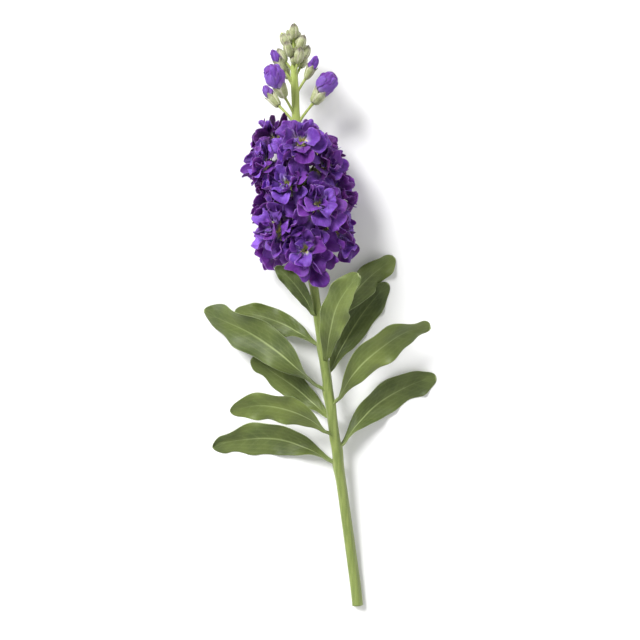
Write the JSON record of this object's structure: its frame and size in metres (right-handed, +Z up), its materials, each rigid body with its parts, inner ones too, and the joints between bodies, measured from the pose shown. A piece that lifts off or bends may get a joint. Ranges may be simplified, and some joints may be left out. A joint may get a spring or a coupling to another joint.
{
  "type": "stock flower stem",
  "caption": "Cut stem of violet double-flowered stock, lying down: a dense spike of ruffled blooms and green buds above long blunt leaves.",
  "frame": {"origin": "on the surface that the stem lies on, under the middle of its box", "axes": "+Y along the stem from the cut end to the bud tip, +Z up from the surface, -Z into it"},
  "size_m": [0.164, 0.3998, 0.0732],
  "materials": {
    "stem": "felted green",
    "leaf": "matte grey-green",
    "petal": "matte violet"
  },
  "bodies": {
    "root": {"stem": "stem", "leaf_01": "leaf", "leaf_02": "leaf", "leaf_03": "leaf", "leaf_04": "leaf", "leaf_05": "leaf", "leaf_06": "leaf", "leaf_07": "leaf", "leaf_08": "leaf", "leaf_09": "leaf", "leaf_10": "leaf", "leaf_11": "leaf", "bloom_01": "petal", "bloom_02": "petal", "bloom_03": "petal", "bloom_04": "petal", "bloom_05": "petal", "bloom_06": "petal", "bloom_07": "petal", "bloom_08": "petal", "bloom_09": "petal", "bloom_10": "petal", "bloom_11": "petal", "bloom_12": "petal", "bloom_13": "petal", "bloom_14": "petal", "bloom_15": "petal", "bud_petals_01": "petal", "bud_petals_02": "petal", "bud_petals_03": "petal", "bud_petals_04": "petal", "bud_petals_05": "petal", "bud_petals_06": "petal"}
  },
  "joints": []
}
